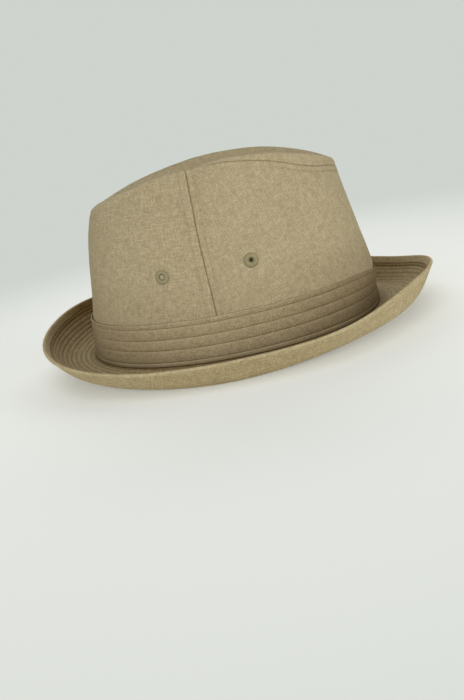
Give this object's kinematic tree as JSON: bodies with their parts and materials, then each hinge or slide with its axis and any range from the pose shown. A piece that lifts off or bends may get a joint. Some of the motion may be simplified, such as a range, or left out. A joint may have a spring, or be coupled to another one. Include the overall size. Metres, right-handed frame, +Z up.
{
  "type": "fedora hat",
  "caption": "Tan linen fedora with a lengthwise dent pressed into the crown, a pleated self-fabric band, a row-stitched brim turned up all round and thread-worked eyelets",
  "frame": {"origin": "middle of the hat's box, on the surface that the brim rests on", "axes": "+Z up, -Y toward the front of the hat, +X toward its left side"},
  "size_m": [0.2478, 0.2806, 0.1264],
  "materials": {
    "crown_linen": "matte plain-weave tan linen",
    "band_linen": "matte plain-weave tan linen laid in pleats",
    "brim_linen": "matte plain-weave tan linen stitched in rows",
    "eyelet_thread": "matte thread, close buttonhole stitches"
  },
  "bodies": {
    "root": {"crown_front": "crown_linen", "crown_back": "crown_linen", "crown_tip": "crown_linen", "hat_band": "band_linen", "brim": "brim_linen", "eyelet_left_front": "eyelet_thread", "eyelet_left_rear": "eyelet_thread", "eyelet_right_front": "eyelet_thread", "eyelet_right_rear": "eyelet_thread"}
  },
  "joints": []
}
